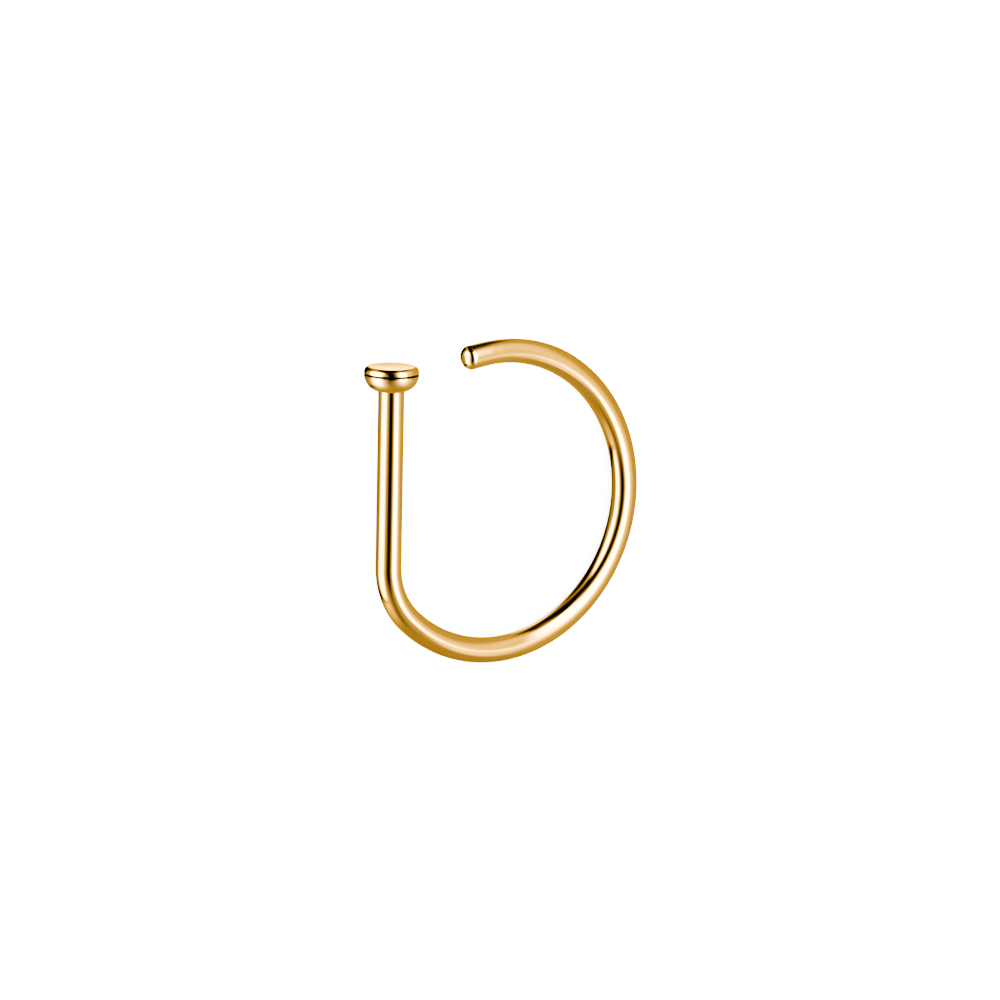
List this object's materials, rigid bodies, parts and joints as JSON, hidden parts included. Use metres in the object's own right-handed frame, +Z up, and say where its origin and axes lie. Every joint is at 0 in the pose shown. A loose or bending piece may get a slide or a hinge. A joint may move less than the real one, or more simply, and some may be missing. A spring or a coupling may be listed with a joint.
{
  "type": "nose ring",
  "caption": "D-shaped nose ring of round gold-coloured wire: a straight post with a flat disc head, bent into an open hoop with a rounded tip, lying on its side.",
  "frame": {"origin": "middle of the ring's footprint, on the surface that it lies on", "axes": "+Y along the straight post towards its head, +X from the post across to the far side of the hoop, +Z up, out of the ring's upper side"},
  "size_m": [0.01, 0.0104, 0.0017],
  "materials": {
    "gold": "polished gold coating on steel"
  },
  "bodies": {
    "root": {"nose_ring": "gold"}
  },
  "joints": []
}
